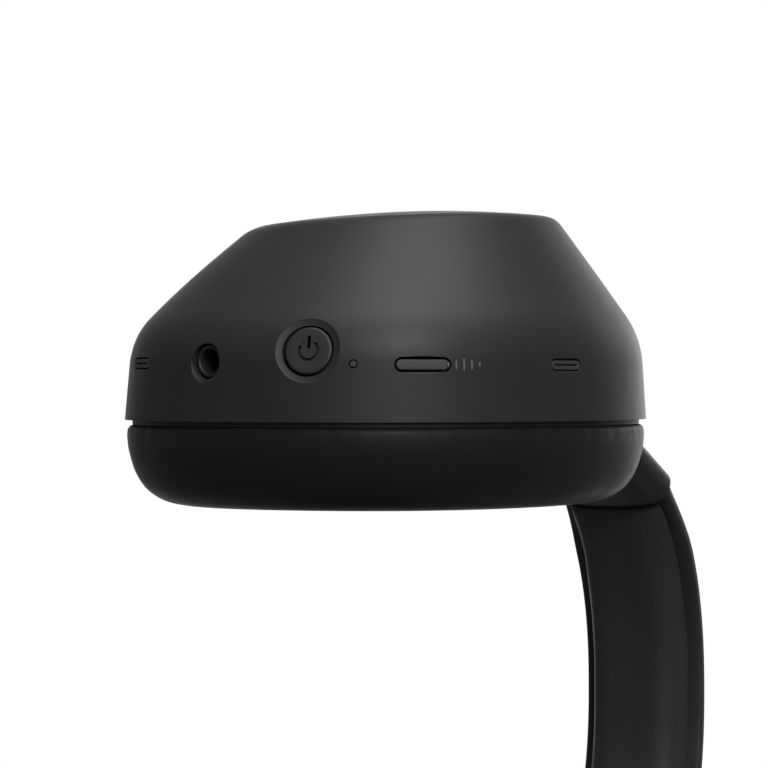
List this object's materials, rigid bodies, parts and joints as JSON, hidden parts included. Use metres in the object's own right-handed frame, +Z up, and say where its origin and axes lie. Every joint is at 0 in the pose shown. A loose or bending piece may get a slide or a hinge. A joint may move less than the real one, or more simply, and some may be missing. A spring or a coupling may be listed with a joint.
{
  "type": "over-ear headset",
  "caption": "Folding over-ear wireless headset with padded band, sliding arms, swivelling ear cups, press buttons and a jack socket.",
  "frame": {"origin": "on the floor midway between the ear cups, under the headband's crown, worn upright", "axes": "+Z up to the crown, +X to the wearer's left ear, -Y the way the wearer faces"},
  "size_m": [0.1674, 0.076, 0.1576],
  "materials": {
    "band_skin": "synthetic leather skin, very fine grain",
    "board": "solder-masked board",
    "button_black": "satin moulded plastic",
    "button_grey": "satin moulded plastic, a little lighter",
    "cast_dark": "dark satin coated casting",
    "cell": "foil pouch",
    "film": "clear polymer film",
    "guide_plastic": "low-friction plastic",
    "inner_black": "plain moulded black",
    "leather_black": "protein leather, fine grain",
    "lens": "smoked light guide",
    "mesh_black": "acoustic cloth",
    "soft_touch_black": "soft-touch matt black paint on moulded plastic",
    "steel": "brushed"
  },
  "bodies": {
    "headband": {"headband_spring": "steel", "headband_cover": "band_skin", "headband_cushion": "leather_black", "end_sleeve_left": "soft_touch_black", "end_sleeve_right": "soft_touch_black", "slider_guide_left": "guide_plastic", "slider_guide_right": "guide_plastic"},
    "slider_left": {"slider_stem_left": "steel", "hinge_tongue_left": "cast_dark"},
    "fold_left": {"fold_arm_left": "cast_dark", "fold_pin_left": "steel", "spindle_clip_left": "steel"},
    "swivel_left": {"hanger_left": "cast_dark"},
    "cup_left": {"shell_left": "soft_touch_black", "baffle_left": "inner_black", "pivot_bracket_left": "cast_dark", "cushion_plate_left": "inner_black", "ear_cushion_left": "leather_black", "ear_mesh_left": "mesh_black", "driver_frame_left": "inner_black", "driver_magnet_left": "steel", "diaphragm_left": "film", "microphones_left": "mesh_black", "baffle_screws_left": "steel", "circuit_board": "board", "button_switches": "steel", "led_window": "lens", "jack_socket": "inner_black"},
    "slider_right": {"slider_stem_right": "steel", "hinge_tongue_right": "cast_dark"},
    "fold_right": {"fold_arm_right": "cast_dark", "fold_pin_right": "steel", "spindle_clip_right": "steel"},
    "swivel_right": {"hanger_right": "cast_dark"},
    "cup_right": {"shell_right": "soft_touch_black", "baffle_right": "inner_black", "pivot_bracket_right": "cast_dark", "cushion_plate_right": "inner_black", "ear_cushion_right": "leather_black", "ear_mesh_right": "mesh_black", "driver_frame_right": "inner_black", "driver_magnet_right": "steel", "diaphragm_right": "film", "microphones_right": "mesh_black", "baffle_screws_right": "steel", "battery": "cell", "charge_socket": "steel", "charge_board": "board"},
    "power_key": {"power_button": "button_black"},
    "mode_key": {"mode_button": "button_grey"}
  },
  "joints": [
    {"name": "slide_left", "type": "slide", "parent": "headband", "child": "slider_left", "axis": [0.4695, 0, -0.8829], "range_m": [0, 0.026]},
    {"name": "fold_left_hinge", "type": "hinge", "parent": "slider_left", "child": "fold_left", "pos_m": [0.05956, 0, 0.099], "axis": [0, 1, 0], "range_deg": [0, 82]},
    {"name": "swivel_left_turn", "type": "hinge", "parent": "fold_left", "child": "swivel_left", "pos_m": [0.05956, 0, 0.088], "axis": [0, 0, 1], "range_deg": [-90, 5]},
    {"name": "tilt_left", "type": "hinge", "parent": "swivel_left", "child": "cup_left", "pos_m": [0.05956, 0, 0.0775], "axis": [0, 1, 0], "range_deg": [-8, 8]},
    {"name": "slide_right", "type": "slide", "parent": "headband", "child": "slider_right", "axis": [-0.4695, 0, -0.8829], "range_m": [0, 0.026]},
    {"name": "fold_right_hinge", "type": "hinge", "parent": "slider_right", "child": "fold_right", "pos_m": [-0.05956, 0, 0.099], "axis": [0, 1, 0], "range_deg": [-82, 0]},
    {"name": "swivel_right_turn", "type": "hinge", "parent": "fold_right", "child": "swivel_right", "pos_m": [-0.05956, 0, 0.088], "axis": [0, 0, 1], "range_deg": [-5, 90]},
    {"name": "tilt_right", "type": "hinge", "parent": "swivel_right", "child": "cup_right", "pos_m": [-0.05956, 0, 0.0775], "axis": [0, 1, 0], "range_deg": [-8, 8]},
    {"name": "power_press", "type": "slide", "parent": "cup_left", "child": "power_key", "axis": [-0.2588, -0.181, 0.9488], "range_m": [0, 0.0005], "stiffness_N_per_m": 1500},
    {"name": "mode_press", "type": "slide", "parent": "cup_left", "child": "mode_key", "axis": [-0.0698, -0.6263, 0.7764], "range_m": [0, 0.0005], "stiffness_N_per_m": 1500}
  ]
}
